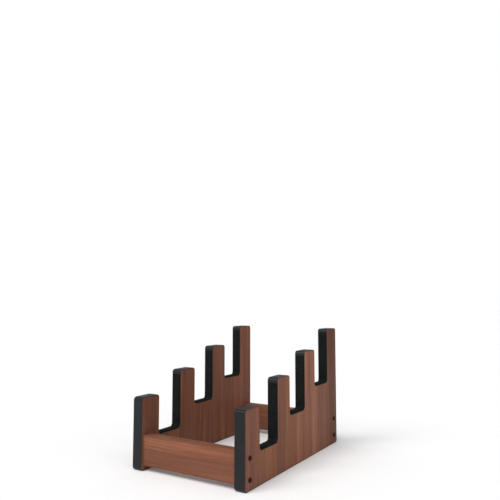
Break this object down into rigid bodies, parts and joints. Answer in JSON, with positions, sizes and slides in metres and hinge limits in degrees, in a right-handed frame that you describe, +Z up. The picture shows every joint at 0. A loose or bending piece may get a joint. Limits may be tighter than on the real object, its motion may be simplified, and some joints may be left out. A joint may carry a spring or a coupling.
{
  "type": "guitar rack",
  "caption": "Floor rack for guitars: two stepped side panels with padded slots, each slot higher than the one in front, joined by two low rails.",
  "frame": {"origin": "on the floor, under the middle of the rack's overall box", "axes": "+Z up; +Y from the front rail to the rear rail, along the row of slots; +X towards the right side panel, seen from the front"},
  "size_m": [0.3122, 0.48, 0.3105],
  "materials": {
    "walnut_board": "satin walnut grain, upright on the side panels and lengthwise on the rails",
    "edge_band": "satin black edge banding",
    "slot_foam": "matte black closed-cell foam",
    "black_bolt": "dark oxide steel, with domed heads",
    "zinc_nut": "zinc plated",
    "beech_dowel": "raw beech"
  },
  "bodies": {
    "root": {"right_side_panel": "walnut_board", "right_edge_band": "edge_band", "right_bottom_band": "edge_band", "right_slot_pad_1": "slot_foam", "right_slot_pad_2": "slot_foam", "right_slot_pad_3": "slot_foam", "left_side_panel": "walnut_board", "left_edge_band": "edge_band", "left_bottom_band": "edge_band", "left_slot_pad_1": "slot_foam", "left_slot_pad_2": "slot_foam", "left_slot_pad_3": "slot_foam", "front_rail": "walnut_board", "front_rail_top_band": "walnut_board", "front_rail_bottom_band": "walnut_board", "rear_rail": "walnut_board", "rear_rail_top_band": "walnut_board", "rear_rail_bottom_band": "walnut_board", "bolt_right_front_lower": "black_bolt", "barrel_nut_right_front_lower": "zinc_nut", "bolt_right_front_upper": "black_bolt", "barrel_nut_right_front_upper": "zinc_nut", "dowel_right_front": "beech_dowel", "bolt_right_rear_lower": "black_bolt", "barrel_nut_right_rear_lower": "zinc_nut", "bolt_right_rear_upper": "black_bolt", "barrel_nut_right_rear_upper": "zinc_nut", "dowel_right_rear": "beech_dowel", "bolt_left_front_lower": "black_bolt", "barrel_nut_left_front_lower": "zinc_nut", "bolt_left_front_upper": "black_bolt", "barrel_nut_left_front_upper": "zinc_nut", "dowel_left_front": "beech_dowel", "bolt_left_rear_lower": "black_bolt", "barrel_nut_left_rear_lower": "zinc_nut", "bolt_left_rear_upper": "black_bolt", "barrel_nut_left_rear_upper": "zinc_nut", "dowel_left_rear": "beech_dowel"}
  },
  "joints": []
}
